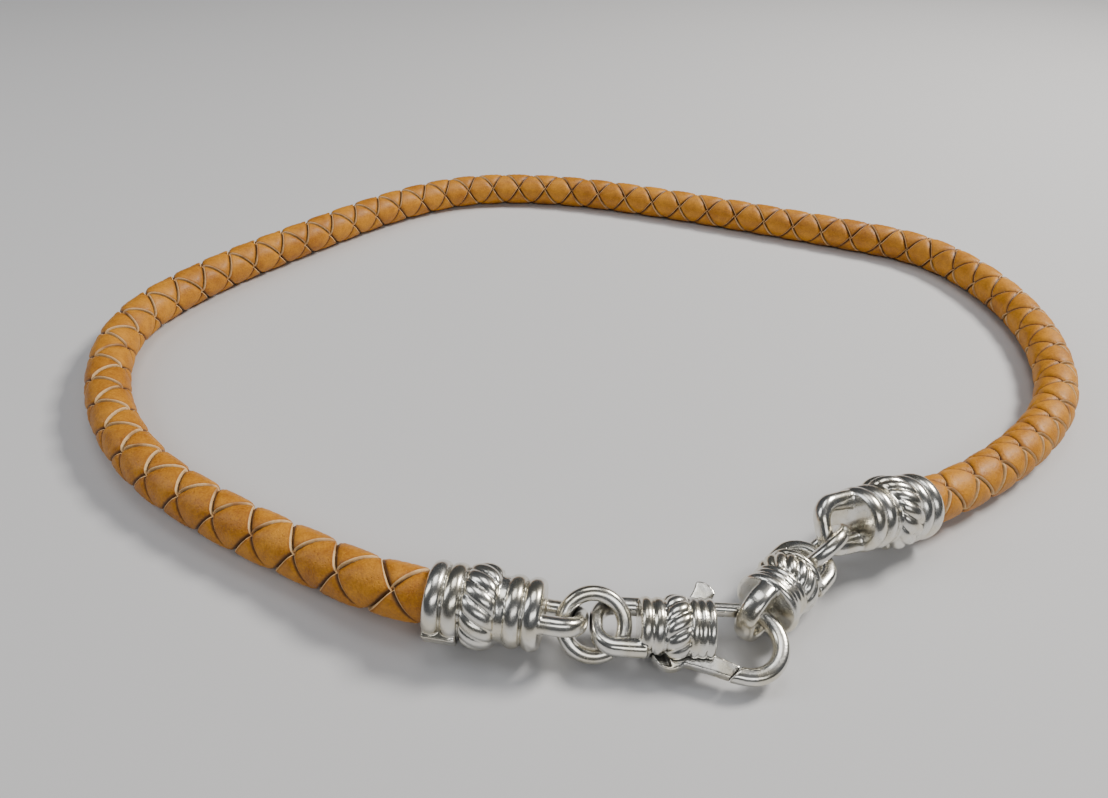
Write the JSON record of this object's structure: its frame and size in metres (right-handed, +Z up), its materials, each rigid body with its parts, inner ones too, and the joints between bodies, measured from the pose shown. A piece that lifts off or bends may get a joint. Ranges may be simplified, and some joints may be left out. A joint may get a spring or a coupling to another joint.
{
  "type": "leather cord necklace",
  "caption": "Short necklace of thick round braided leather cord, closed at the front by ringed silver caps, jump rings and a hook clasp with a sprung lever.",
  "frame": {"origin": "middle of the cord's loop, on the level surface that the necklace lies on", "axes": "+Z up from the surface, through the loop as a neck passes; -Y towards the clasp; +X towards the connector's side"},
  "size_m": [0.1794, 0.1472, 0.0119],
  "materials": {
    "leather": "smooth waxed strands, light brown",
    "silver": "polished silver, dark in its grooves"
  },
  "bodies": {
    "necklace": {"leather_cord": "leather", "left_end_cap": "silver", "jump_ring": "silver", "clasp_body": "silver", "lever_pin": "silver", "connector": "silver", "right_link": "silver", "right_end_cap": "silver"},
    "lever": {"clasp_lever": "silver"}
  },
  "joints": [
    {"name": "lever_hinge", "type": "hinge", "parent": "necklace", "child": "lever", "pos_m": [0.0076, -0.06887, 0.00367], "axis": [0, -0.2419, 0.9703], "range_deg": [0, 18], "stiffness_Nm_per_rad": 0.01, "springref_deg": -11.46}
  ]
}
